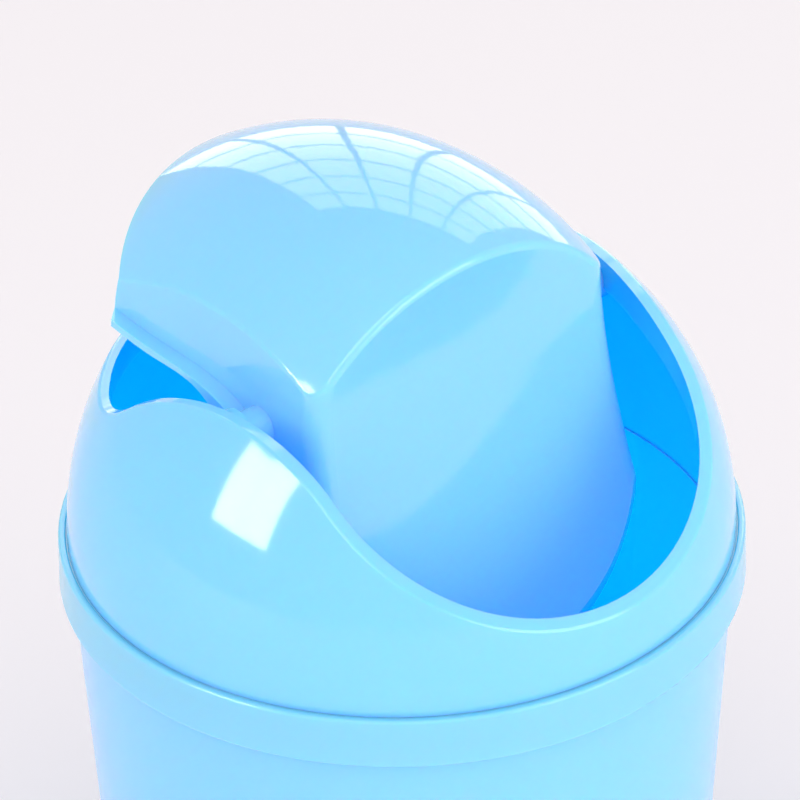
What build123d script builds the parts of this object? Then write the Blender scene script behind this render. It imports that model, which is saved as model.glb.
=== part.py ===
"""Countertop trash can with swing lid: a tapered bucket, a dome lid with a wave-shaped mouth,
and a flap that swings in the mouth on two moulded pins.

Millimetres, +Z up.  The origin is the centre of the base, on the standing surface.  The front is -Y.
Heights named *_rise are measured from the seam, the top edge of the bucket, where the dome begins.
The flap is modelled shut and then turned to its resting place, part open.
"""
from build123d import *
from math import cos, radians, sin, sqrt, tan
import os

os.makedirs("parts", exist_ok=True)

# The dome's radius sets the scale of the lid, its mouth and the flap
dome_radius = 61.2
dome_rise = 0.4             # the sphere's centre above the seam

# Bucket
bucket_height = 131.0       # standing surface to the seam
neck_radius = dome_radius - 0.4         # outside, just under the rim band
bucket_wall = 1.6
base_radius = 54.4          # outside, at the standing surface
base_round = 3.5            # outside edge of the base
floor_thickness = 2.0
foot_height = 1.2           # the floor stands clear of the table by this
foot_width = 6.5            # width of the ring that the bucket stands on

# Rim band of the bucket, which takes the skirt of the lid
band_height = 9.9
band_flare = 0.3            # the band is this much wider at its lower edge
band_wall = 1.4
band_round = 0.6
step_round = 0.9            # lower edge of the band
ledge_depth = 8.6           # the lid stands on a ledge this far below the seam
lid_gap = 0.3               # round the skirt of the lid, inside the band

# Lid: a shell on a sphere
lid_wall = 1.6

# Mouth of the lid.  Seen from the side its edge is a wave: a straight rake up from the front,
# a hump over the pivots, a fall behind them, and a level stretch at the back.
mouth_front_rise = 0.1781 * dome_radius # lowest point of the mouth, at the front
mouth_rake = 37.8           # degrees above level, front slope and rear fall
hump_y = -0.0882 * dome_radius
hump_round = 0.6454 * dome_radius       # radius of the hump, seen from the side
mouth_back_rise = 0.4771 * dome_radius  # level stretch behind
dip_round = 0.3105 * dome_radius        # radius where the fall runs out into the level stretch

# Turned-in lip of the mouth
lip_width = 1.3             # the inner face of the lip lies this far inside the dome's surface
lip_wall = 1.2
lip_height = 6.5            # how far the lip hangs down
lip_round = 0.9             # outer edge, where the dome rolls into the lip

# Pivots
pivot_y = -0.0637 * dome_radius
pivot_rise = 0.6046 * dome_radius
pin_radius = 2.4
pin_gap = 0.08              # radial running clearance of a pin in its ear
pin_end_gap = 0.6           # past the end of a pin
pin_reach = 0.7026 * dome_radius        # from the middle to the end of a pin
shoulder_radius = 3.8
ear_inside = 0.6438 * dome_radius       # from the middle to the inner face of an ear
ear_wall = 0.0719 * dome_radius
ear_radius = 5.2
ear_gap = 0.3               # between a shoulder and its ear

# Flap: a hood with a crown, two flat cheeks and a hollowed push panel in front.
# The side views are in (y, rise), as shares of the dome's radius.
flap_wall = 1.6
open_angle = 27.3           # degrees from shut to the resting place
crown_half_width = 1.0098 * dome_radius # the crown is the top of an ellipsoid
crown_half_length = 1.2908 * dome_radius
crown_height = 1.6225 * dome_radius
crown_y = -0.1285 * dome_radius         # its centre
crown_rise = -0.4902 * dome_radius
cheek_half_width = 0.5572 * dome_radius # half width across the cheeks at cheek_rise
cheek_rise = 0.817 * dome_radius
cheek_draft = 3.0           # degrees; the cheeks spread downwards
crown_round = 1.4           # edges of the crown
crown_edge_rise = 0.7353 * dome_radius  # only the crown's own edges have their middles above this
cheek_round = 4.0           # upright edges between the panel and the cheeks
panel_profile = (           # side view of the push panel, front to top
    (-1.049, 0.000),
    (-0.725, 0.245),
    (-0.469, 0.490),
    (-0.276, 0.735),
    (-0.152, 0.980),
    (-0.092, 1.225),
    (-0.075, 1.471),
)
panel_slant = 0.78          # shift back and down for each unit of thickness
skirt_profile = (           # side view of the lower edge of the flap, front to back
    (-1.078, -0.131),
    (-0.817, 0.065),
    (-0.490, 0.359),
    (-0.196, 0.515),
    (-0.049, 0.523),
    (0.147, 0.542),
    (0.338, 0.458),
    (0.464, 0.400),
    (0.654, 0.335),
    (1.013, 0.294),
)
brim_profile = (            # side view of the top of the brim, front to back
    (0.000, 0.595),
    (0.147, 0.570),
    (0.338, 0.484),
    (0.464, 0.425),
    (0.654, 0.359),
    (1.013, 0.319),
)
brim_half_width = 0.6242 * dome_radius  # the brim stands out from the cheeks, over the sides of the mouth
panel_reach = 0.8873 * dome_radius      # the panel's lower end keeps inside a sphere on the dome's centre
swing_reach = 0.8856 * dome_radius      # the back of the flap swings inside a sphere on the pivots
rest_gap = 0.4              # from the back of the crown, shut, to the mouth's edge

seam = bucket_height
dome_centre = seam + dome_rise
pivot_z = seam + pivot_rise
far_out = 2 * dome_radius   # larger than anything that is cut


def wave_corners():
    """Corners of the wave in (y, z) before they are rounded: front, peak, foot of the fall, back."""
    slope = tan(radians(mouth_rake))
    front_y = -sqrt(dome_radius**2 - (mouth_front_rise - dome_rise) ** 2)
    front_z = seam + mouth_front_rise
    peak_z = front_z + slope * (hump_y - front_y)
    back_z = seam + mouth_back_rise
    foot_y = hump_y + (peak_z - back_z) / slope
    return (
        (-far_out, front_z - slope * (front_y + far_out)),
        (hump_y, peak_z),
        (foot_y, back_z),
        (far_out, back_z),
    )


def wave_height(y):
    """Height of the wave at y, with its two bends rounded."""
    slope, rake = tan(radians(mouth_rake)), radians(mouth_rake)
    _, (peak_y, peak_z), (foot_y, foot_z), _ = wave_corners()
    hump_reach = hump_round * sin(rake)
    dip_reach = dip_round * tan(rake / 2)
    if abs(y - peak_y) < hump_reach:
        centre_z = peak_z - hump_round / cos(rake)
        return centre_z + sqrt(hump_round**2 - (y - peak_y) ** 2)
    if y < foot_y - dip_reach * cos(rake):
        return peak_z - slope * abs(y - peak_y)
    if y < foot_y + dip_reach:
        centre_y = foot_y + dip_reach
        return foot_z + dip_round - sqrt(dip_round**2 - (y - centre_y) ** 2)
    return foot_z


def above_wave(shift=0.0):
    """Everything above the wave, moved up by shift, as a solid."""
    corners = [(y, z + shift) for y, z in wave_corners()]
    edge = FilletPolyline(*corners, radius=[hump_round, dip_round])
    front, back = corners[0], corners[-1]
    rest = Polyline(back, (far_out, seam + far_out), (-far_out, seam + far_out), front)
    face = make_face(Plane.YZ * Curve([edge, rest]))
    return extrude(face, amount=far_out, both=True)


def mouth_prism(inset):
    """Upright prism whose plan is the mouth's edge on a sphere that lies inset inside the dome."""
    radius = dome_radius - inset
    points = []
    for step in range(36):
        turn = radians(10 * step)
        reach = radius
        for _ in range(30):
            reach = sqrt(radius**2 - (wave_height(-reach * cos(turn)) - dome_centre) ** 2)
        points.append((reach * sin(turn), -reach * cos(turn)))
    outline = make_face(Spline(*points, periodic=True))
    return extrude(Plane.XY.offset(seam - ledge_depth) * outline, amount=far_out)


def pivot_cylinder(radius, inner, outer):
    """A cylinder on the pivot axis, between two distances from the middle, on both sides."""
    disc = Plane((0, pivot_y, pivot_z), x_dir=(0, 1, 0), z_dir=(1, 0, 0)) * Circle(radius)
    bars = [extrude(Pos(side * inner, 0, 0) * disc, amount=side * (outer - inner)) for side in (1, -1)]
    return bars[0] + bars[1]


def build_bucket():
    """Thin tapered body with a foot ring, and a wider band at the rim with a ledge inside."""
    band_bottom = seam - band_height
    ledge = seam - ledge_depth
    band_inside = dome_radius + lid_gap
    band_outside = band_inside + band_wall
    lean = (neck_radius - base_radius) / band_bottom
    floor_top = foot_height + floor_thickness
    outline = Polyline(
        (0, foot_height),
        (base_radius - foot_width, foot_height),
        (base_radius - foot_width, 0),
        (base_radius, 0),
        (neck_radius, band_bottom),
        (band_outside + band_flare, band_bottom),
        (band_outside, seam),
        (band_inside, seam),
        (band_inside, ledge),
        (neck_radius - bucket_wall, ledge),
        (base_radius + lean * floor_top - bucket_wall, floor_top),
        (0, floor_top),
        (0, foot_height),
    )
    face = make_face(outline)

    def corners(radius, height):
        return [v for v in face.vertices() if abs(v.X - radius) < 0.01 and abs(v.Y - height) < 0.01]

    rounds = (
        (base_radius, 0, base_round),
        (base_radius + lean * floor_top - bucket_wall, floor_top, base_round),
        (band_outside + band_flare, band_bottom, step_round),
        (band_outside, seam, band_round),
        (band_inside, seam, band_round / 2),
    )
    for radius, height, size in rounds:
        face = fillet(corners(radius, height), size)
    return revolve(Plane.XZ * face, axis=Axis.Z)


def dome_ball(radius):
    return Pos(0, 0, dome_centre) * Sphere(radius)


def build_lid():
    """Dome shell with a skirt, the wave-shaped mouth with its lip, and two ears for the pins."""
    foot = seam - ledge_depth

    def filled(inset):
        radius = dome_radius - inset
        upper = dome_ball(radius) - Pos(0, 0, dome_centre) * Cylinder(
            far_out, far_out, align=(Align.CENTER, Align.CENTER, Align.MAX)
        )
        skirt = Pos(0, 0, foot) * Cylinder(
            radius, dome_centre - foot, align=(Align.CENTER, Align.CENTER, Align.MIN)
        )
        return upper + skirt

    shell = filled(0) - filled(lid_wall)
    sky = above_wave()
    rim = dome_ball(dome_radius - lid_wall / 2) & (above_wave(-lip_wall) - sky)
    curtain = mouth_prism(lip_width - lip_wall) & (above_wave(-lip_height) - sky)
    lip = ((rim + curtain) & filled(0)) - mouth_prism(lip_width)
    lid = shell - sky + lip

    def on_rim(edge):
        middle = edge.position_at(0.5)
        reach = sqrt(middle.X**2 + middle.Y**2 + (middle.Z - dome_centre) ** 2)
        on_dome = abs(reach - dome_radius) < 0.05
        return on_dome and abs(middle.Z - wave_height(middle.Y)) < 0.1

    lid = fillet(lid.edges().filter_by(on_rim), lip_round)
    ears = pivot_cylinder(ear_radius, ear_inside, ear_inside + ear_wall) & filled(lid_wall / 2) - sky
    socket = pivot_cylinder(pin_radius + pin_gap, ear_inside - ear_gap, pin_reach + pin_end_gap)
    return lid + ears - socket


def side_points(profile, shift=0.0):
    """A side-view profile in (y, z), moved back and down by shift."""
    return [(y * dome_radius + shift, seam + rise * dome_radius - shift) for y, rise in profile]


def side_solid(points, rest):
    """A side-view curve closed by straight lines, as a solid across the whole width."""
    edge = Spline(*points)
    closing = Polyline(points[-1], *rest, points[0])
    return extrude(make_face(Plane.YZ * Curve([edge, closing])), amount=far_out, both=True)


def crown(inset):
    """An ellipsoid whose upper part is the crown."""
    half_sizes = (crown_half_width - inset, crown_half_length - inset, crown_height - inset)
    return Pos(0, crown_y, seam + crown_rise) * scale(Sphere(1), by=half_sizes)


def behind_panel(inset):
    """Everything behind the push panel."""
    points = side_points(panel_profile, panel_slant * inset)
    low_front, top = points[0][0], points[-1][1]
    return side_solid(points, [(far_out, top), (far_out, -far_out), (low_front, -far_out)])


def above_skirt():
    """Everything above the lower edge of the flap."""
    points = side_points(skirt_profile)
    return side_solid(points, [(points[-1][0], seam + far_out), (points[0][0], seam + far_out)])


def below_brim():
    """Everything below the top of the brim, behind the pins."""
    points = side_points(brim_profile)
    return side_solid(points, [(points[-1][0], seam - far_out), (points[0][0], seam - far_out)])


def cheeks(inset):
    """A wedge between the two cheeks of the flap."""
    spread = tan(radians(cheek_draft))
    low, high = seam - far_out, seam + far_out
    half_low = cheek_half_width - inset + spread * (seam + cheek_rise - low)
    half_high = cheek_half_width - inset - spread * (high - seam - cheek_rise)
    corners = [(-half_low, low), (half_low, low), (half_high, high), (-half_high, high)]
    face = make_face(Plane.XZ * Polyline(*corners, corners[0]))
    return extrude(face, amount=far_out, both=True)


def hood_front(inset):
    """The cheeks and the push panel with the upright edges between them rounded."""
    wedge = cheeks(inset) & behind_panel(inset)

    def upright(edge):
        middle = edge.position_at(0.5)
        on_side = abs(middle.X) > cheek_half_width - flap_wall
        return on_side and middle.Y < pivot_y and edge.geom_type == GeomType.BSPLINE

    return fillet(wedge.edges().filter_by(upright), cheek_round - inset)


def swing_room(inset):
    """Room for the flap inside the mouth, and all the room above the mouth's back edge."""
    size = 2 * far_out
    middle, low, high = Align.CENTER, Align.MIN, Align.MAX
    front = Pos(0, pivot_y, seam) * Box(size, size, size, align=(middle, high, middle))
    back = Pos(0, pivot_y, seam) * Box(size, size, size, align=(middle, low, middle))
    swing = Pos(0, pivot_y, pivot_z) * Sphere(swing_reach - inset)
    shelf = seam + mouth_back_rise + rest_gap + inset
    above = Pos(0, 0, shelf) * Box(size, size, size, align=(middle, middle, low))
    return (dome_ball(panel_reach - inset) & front) + (swing & back) + above


def shut_flap_body(inset):
    """The flap without its brim and pins, shut, shrunk by inset on every outer face."""
    return swing_room(inset) & hood_front(inset) & crown(inset)


def build_flap():
    body = shut_flap_body(0)

    def on_crown(edge):
        middle = edge.position_at(0.5)
        return middle.Z > seam + crown_edge_rise and edge.length > crown_round

    body = fillet(body.edges().filter_by(on_crown), crown_round)
    shell = (body - shut_flap_body(flap_wall)) & above_skirt()
    slab = Pos(0, 0, seam) * Box(2 * brim_half_width, 2 * far_out, 2 * far_out)
    brim = (swing_room(0) & below_brim() & slab & crown(0) & above_skirt()) - cheeks(flap_wall)
    root = cheek_half_width - flap_wall / 2
    shoulders = pivot_cylinder(shoulder_radius, root, ear_inside - ear_gap)
    pins = pivot_cylinder(pin_radius, root, pin_reach)
    pivot = Axis((0, pivot_y, pivot_z), (1, 0, 0))
    return (shell + brim + shoulders + pins).rotate(pivot, open_angle)


def build_all():
    return build_bucket(), build_lid(), build_flap()


if __name__ == "__main__":
    bucket, lid, flap = build_all()
    export_step(bucket, "parts/bucket.step")
    export_step(lid, "parts/lid.step")
    export_step(flap, "parts/flap.step")
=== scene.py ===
import math
import bpy
from mathutils import Matrix, Vector


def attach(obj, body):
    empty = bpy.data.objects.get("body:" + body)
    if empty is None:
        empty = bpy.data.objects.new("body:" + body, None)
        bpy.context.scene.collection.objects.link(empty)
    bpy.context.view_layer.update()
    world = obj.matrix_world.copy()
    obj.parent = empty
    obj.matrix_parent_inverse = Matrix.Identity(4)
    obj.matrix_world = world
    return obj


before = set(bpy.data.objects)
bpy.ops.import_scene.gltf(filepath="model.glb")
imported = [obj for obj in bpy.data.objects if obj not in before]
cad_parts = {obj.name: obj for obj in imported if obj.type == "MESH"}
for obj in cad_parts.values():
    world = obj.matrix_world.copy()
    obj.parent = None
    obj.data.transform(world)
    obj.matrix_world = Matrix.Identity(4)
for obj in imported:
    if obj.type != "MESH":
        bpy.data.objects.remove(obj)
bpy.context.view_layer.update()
bpy.ops.object.select_all(action="DESELECT")
print("frame loaded")

# The milky moulded plastic: what every piece shares. Lengths are in metres.
mouldedPlastic = {
    "middle": (0, 0, 0.1314),       # centre of the dome; a face that looks towards it is an inner face
    # painted shade: these bounds set where inner faces start to take the painted inside shade and where it is full
    "outsideFrom": 0.05, "insideFrom": -0.25,   # how squarely a face looks away from the middle
    "cloudScale": 22, "cloudDetail": 3,         # slow change of tint
    "dustScale": 160, "dustDetail": 6, "dustRoughness": 0.06,
    "rippleScale": 35, "rippleDetail": 2, "rippleStrength": 0.12, "rippleHeight": 0.0004,
    "refraction": 1.49, "coatRoughness": 0.03,
    "milkDepth": 0.003, "milkReach": (0.15, 0.75, 1.0),     # blue light goes furthest through the wall
}


def addNoise(nodes, scale, detail):
    noise = nodes.new("ShaderNodeTexNoise")
    noise.inputs["Scale"].default_value = scale
    noise.inputs["Detail"].default_value = detail
    return noise


def addMath(nodes, kind, operation):
    node = nodes.new(kind)
    node.operation = operation
    return node


def makeMouldedSurface(look):
    group = bpy.data.node_groups.new("mouldedSurface", "ShaderNodeTree")
    number, colour = "NodeSocketFloat", "NodeSocketColor"
    # the second colour input carries the painted shade for the inner faces
    for name, kind in (("Color", colour), ("Painted Inside Shade", colour), ("Mottle", number), ("Roughness", number)):
        group.interface.new_socket(name=name, in_out="INPUT", socket_type=kind)
    for name, kind in (("Color", colour), ("Roughness", number), ("Height", number)):
        group.interface.new_socket(name=name, in_out="OUTPUT", socket_type=kind)
    nodes, links = group.nodes, group.links
    entry, leave = nodes.new("NodeGroupInput"), nodes.new("NodeGroupOutput")
    where = nodes.new("ShaderNodeTexCoord")

    # the tint changes a little over the surface
    cloud = addNoise(nodes, look["cloudScale"], look["cloudDetail"])
    links.new(where.outputs["Object"], cloud.inputs["Vector"])
    shade = addMath(nodes, "ShaderNodeMath", "MULTIPLY_ADD")
    links.new(cloud.outputs["Fac"], shade.inputs[0])
    links.new(entry.outputs["Mottle"], shade.inputs[1])
    shade.inputs[2].default_value = 1.0

    # painted shade: inner faces get a deeper, more saturated blue that stands for the light seen through the milky
    # wall
    outward = addMath(nodes, "ShaderNodeVectorMath", "SUBTRACT")
    outward.inputs[1].default_value = look["middle"]
    links.new(where.outputs["Object"], outward.inputs[0])
    straight = addMath(nodes, "ShaderNodeVectorMath", "NORMALIZE")
    links.new(outward.outputs[0], straight.inputs[0])
    facing = addMath(nodes, "ShaderNodeVectorMath", "DOT_PRODUCT")
    links.new(straight.outputs[0], facing.inputs[0])
    links.new(where.outputs["Normal"], facing.inputs[1])
    inner = nodes.new("ShaderNodeMapRange")
    inner.inputs["From Min"].default_value = look["outsideFrom"]
    inner.inputs["From Max"].default_value = look["insideFrom"]
    links.new(facing.outputs["Value"], inner.inputs["Value"])
    depth = nodes.new("ShaderNodeMix")
    depth.data_type = "RGBA"
    links.new(inner.outputs["Result"], depth.inputs["Factor"])
    links.new(entry.outputs["Color"], depth.inputs[6])
    links.new(entry.outputs["Painted Inside Shade"], depth.inputs[7])
    tint = addMath(nodes, "ShaderNodeVectorMath", "SCALE")
    links.new(depth.outputs[2], tint.inputs[0])
    links.new(shade.outputs[0], tint.inputs["Scale"])
    links.new(tint.outputs[0], leave.inputs["Color"])

    # fine dust dulls the gloss in places
    dust = addNoise(nodes, look["dustScale"], look["dustDetail"])
    links.new(where.outputs["Object"], dust.inputs["Vector"])
    rough = addMath(nodes, "ShaderNodeMath", "MULTIPLY_ADD")
    links.new(dust.outputs["Fac"], rough.inputs[0])
    rough.inputs[1].default_value = look["dustRoughness"]
    links.new(entry.outputs["Roughness"], rough.inputs[2])
    links.new(rough.outputs[0], leave.inputs["Roughness"])

    # the wall is never quite true
    ripple = addNoise(nodes, look["rippleScale"], look["rippleDetail"])
    links.new(where.outputs["Object"], ripple.inputs["Vector"])
    links.new(ripple.outputs["Fac"], leave.inputs["Height"])
    return group


def makePlastic(name, look, group):
    material = bpy.data.materials.new(name)
    material.use_nodes = True
    nodes, links = material.node_tree.nodes, material.node_tree.links
    shader = nodes["Principled BSDF"]
    moulded = nodes.new("ShaderNodeGroup")
    moulded.node_tree = group
    moulded.inputs["Color"].default_value = (*look["colour"], 1)
    # painted shade for the inner faces, a deeper blue standing for light through the wall
    moulded.inputs["Painted Inside Shade"].default_value = (*look["inside"], 1)
    moulded.inputs["Mottle"].default_value = look["mottle"]
    meanDust = mouldedPlastic["dustRoughness"] / 2     # so that the look's roughness is the mean
    moulded.inputs["Roughness"].default_value = look["roughness"] - meanDust
    links.new(moulded.outputs["Color"], shader.inputs["Base Color"])
    links.new(moulded.outputs["Roughness"], shader.inputs["Roughness"])
    bump = nodes.new("ShaderNodeBump")
    bump.inputs["Strength"].default_value = mouldedPlastic["rippleStrength"]
    bump.inputs["Distance"].default_value = mouldedPlastic["rippleHeight"]
    links.new(moulded.outputs["Height"], bump.inputs["Height"])
    links.new(bump.outputs["Normal"], shader.inputs["Normal"])
    shader.inputs["IOR"].default_value = mouldedPlastic["refraction"]
    shader.inputs["Coat Weight"].default_value = look["coat"]
    shader.inputs["Coat Roughness"].default_value = mouldedPlastic["coatRoughness"]
    shader.inputs["Subsurface Weight"].default_value = look["milk"]
    shader.inputs["Subsurface Scale"].default_value = mouldedPlastic["milkDepth"]
    shader.inputs["Subsurface Radius"].default_value = mouldedPlastic["milkReach"]
    return material


def dress(node, material):
    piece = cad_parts[node]
    piece.data.materials.clear()
    piece.data.materials.append(material)
    return piece


def makeLidBead(look, material):
    bpy.ops.mesh.primitive_cylinder_add(vertices=look["sides"], radius=look["radius"], depth=look["height"],
                                        end_fill_type="NOTHING", location=(0, 0, look["middle"]))
    bead = bpy.context.object
    bead.name = "lidBead"
    bpy.ops.object.transform_apply(location=True)
    wall = bead.modifiers.new("wall", "SOLIDIFY")
    wall.thickness, wall.offset = look["wall"], 0
    bpy.ops.object.modifier_apply(modifier="wall")
    rounding = bead.modifiers.new("rounding", "BEVEL")
    rounding.width, rounding.segments = look["round"], look["roundSteps"]
    bpy.ops.object.modifier_apply(modifier="rounding")
    bpy.ops.object.shade_smooth_by_angle(angle=math.radians(look["smoothAngle"]))
    bead.data.materials.append(material)
    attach(bead, "lid")


def aimAt(thing, place, aim):
    thing.location = place
    thing.rotation_euler = (Vector(aim) - Vector(place)).to_track_quat("-Z", "Y").to_euler()


def plainMaterial(name, colour, roughness):
    material = bpy.data.materials.new(name)
    material.use_nodes = True
    shader = material.node_tree.nodes["Principled BSDF"]
    shader.inputs["Base Color"].default_value = (*colour, 1)
    shader.inputs["Roughness"].default_value = roughness
    return material


def makeLamp(name, look):
    lamp = bpy.data.lights.new(name, "AREA")
    lamp.shape = "SQUARE"
    lamp.size = look["size"]
    lamp.energy = look["power"]
    holder = bpy.data.objects.new(name, lamp)
    bpy.context.scene.collection.objects.link(holder)
    aimAt(holder, look["place"], look["aim"])
    holder.visible_glossy = look["shine"]


def makeWallGlow(look):
    lamp = bpy.data.lights.new("wallGlow", "POINT")
    lamp.shadow_soft_size = look["size"]
    lamp.energy = look["power"]
    lamp.color = look["colour"]
    holder = bpy.data.objects.new("wallGlow", lamp)
    bpy.context.scene.collection.objects.link(holder)
    holder.location = look["place"]


def glowMaterial(name, strength):
    material = bpy.data.materials.new(name)
    material.use_nodes = True
    nodes = material.node_tree.nodes
    nodes.clear()
    glow, leave = nodes.new("ShaderNodeEmission"), nodes.new("ShaderNodeOutputMaterial")
    glow.inputs["Strength"].default_value = strength
    material.node_tree.links.new(glow.outputs[0], leave.inputs["Surface"])
    return material


def makeWindow(name, look):
    bpy.ops.mesh.primitive_plane_add(size=1)
    pane = bpy.context.object
    pane.name = name
    pane.scale = (look["width"], look["height"], 1)
    bpy.ops.object.transform_apply(scale=True)
    pane.data.materials.append(glowMaterial(name + "Bar", look["barStrength"]))
    pane.data.materials.append(glowMaterial(name + "Pane", look["strength"]))
    bpy.ops.object.mode_set(mode="EDIT")
    across, along = look["cuts"]
    for axis, count, length in ((0, across, look["width"]), (1, along, look["height"])):
        for cut in range(count):
            bpy.ops.mesh.select_all(action="SELECT")
            place = [0, 0, 0]
            place[axis] = length * ((cut + 1) / (count + 1) - 0.5)
            normal = (1, 0, 0) if axis == 0 else (0, 1, 0)
            bpy.ops.mesh.bisect(plane_co=place, plane_no=normal)
    bpy.ops.mesh.select_all(action="SELECT")
    bpy.ops.mesh.inset(thickness=look["bar"], use_individual=True)
    pane.active_material_index = 1
    bpy.ops.object.material_slot_assign()
    bpy.ops.object.mode_set(mode="OBJECT")
    turn, tilt = math.radians(look["azimuth"]), math.radians(look["elevation"])
    toward = Vector((math.cos(turn) * math.cos(tilt), math.sin(turn) * math.cos(tilt), math.sin(tilt)))
    aimAt(pane, Vector(look["aim"]) + toward * look["distance"], look["aim"])
    pane.visible_camera = False
    pane.visible_diffuse = False    # it only shows as a reflection


# The second colour of each plastic is painted shade for the inner faces, a deeper blue standing for light seen
# through the milky wall.
lidPlastic = {"colour": (0.220, 0.625, 0.995), "inside": (0.03, 0.55, 0.99), "roughness": 0.10, "coat": 0.35,
              "mottle": 0.02, "milk": 0.7}
bucketPlastic = {"colour": (0.230, 0.615, 0.990), "inside": (0.03, 0.55, 0.99), "roughness": 0.20, "coat": 0.25,
                 "mottle": 0.02, "milk": 0.7}
flapPlastic = {"colour": (0.245, 0.635, 0.995), "inside": (0.10, 0.58, 0.99), "roughness": 0.08, "coat": 0.35,
               "mottle": 0.02, "milk": 0.7}
moulded = makeMouldedSurface(mouldedPlastic)
dress("bucket", makePlastic("bucketPlastic", bucketPlastic, moulded))
lid = dress("lid", makePlastic("lidPlastic", lidPlastic, moulded))
dress("flap", makePlastic("flapPlastic", flapPlastic, moulded))
print("pieces dressed")

# closes the running gap between the lid and the rim band
lidBead = {"radius": 0.06135, "wall": 0.00046, "middle": 0.13055, "height": 0.0006, "sides": 192,
           "round": 0.00012, "roundSteps": 3, "smoothAngle": 40}
makeLidBead(lidBead, lid.data.materials[0])
print("lid bead made")

table = {"size": 7.0, "colour": (0.88, 0.84, 0.87), "roughness": 0.7}
bpy.ops.mesh.primitive_plane_add(size=table["size"])
floor = bpy.context.object
floor.name = "tableTop"
floor.data.materials.append(plainMaterial("tableWhite", table["colour"], table["roughness"]))
print("table laid")

skyLight = {"strength": 0.78, "colour": (1.0, 0.985, 0.98)}
world = bpy.data.worlds.new("softSky")
world.use_nodes = True
sky = world.node_tree.nodes["Background"]
sky.inputs["Color"].default_value = (*skyLight["colour"], 1)
sky.inputs["Strength"].default_value = skyLight["strength"]
bpy.context.scene.world = world

keyLight = {"place": (-0.9, -0.9, 1.7), "aim": (0, 0, 0.15), "size": 1.3, "power": 9, "shine": True}
leftLight = {"place": (-1.5, 0.25, 0.75), "aim": (0, 0, 0.15), "size": 0.9, "power": 9, "shine": False}
frontLight = {"place": (0.35, -1.3, 0.45), "aim": (0, 0, 0.15), "size": 0.9, "power": 7, "shine": True}
makeLamp("keyLight", keyLight)
makeLamp("leftLight", leftLight)
makeLamp("frontLight", frontLight)

# stands for the daylight that comes through the milky walls
wallGlow = {"place": (0, 0.012, 0.095), "size": 0.03, "power": 0.10, "colour": (0.0, 0.78, 1.0)}
makeWallGlow(wallGlow)

# azimuth and elevation in degrees, seen from the point that each window aims at
sideWindow = {"azimuth": 172, "elevation": 25, "distance": 1.5, "aim": (0, 0, 0.17), "width": 0.60, "height": 0.66,
              "cuts": (1, 0), "bar": 0.004, "strength": 12.0, "barStrength": 5.0}
backWindow = {"azimuth": 46, "elevation": 22, "distance": 1.6, "aim": (0, 0, 0.17), "width": 1.64, "height": 2.4,
              "cuts": (4, 6), "bar": 0.015, "strength": 2.7, "barStrength": 0.7}
makeWindow("sideWindow", sideWindow)
makeWindow("backWindow", backWindow)
print("stage lit")

camera = {"place": (-0.47256, -0.57348, 0.63920), "right": (0.76457, -0.64432, -0.01669),
          "up": (0.36179, 0.40759, 0.83844), "lens": 221.12, "sensor": 36, "nearest": 0.05, "furthest": 20}
lens = bpy.data.cameras.new("camera")
lens.lens = camera["lens"]
lens.sensor_width = camera["sensor"]
lens.clip_start, lens.clip_end = camera["nearest"], camera["furthest"]
viewer = bpy.data.objects.new("camera", lens)
bpy.context.scene.collection.objects.link(viewer)
right, up = Vector(camera["right"]).normalized(), Vector(camera["up"]).normalized()
back = right.cross(up)
viewer.matrix_world = Matrix.Translation(camera["place"]) @ Matrix((right, up, back)).transposed().to_4x4()
bpy.context.scene.camera = viewer
bpy.context.scene.view_settings.view_transform = "Standard"

bpy.context.view_layer.update()
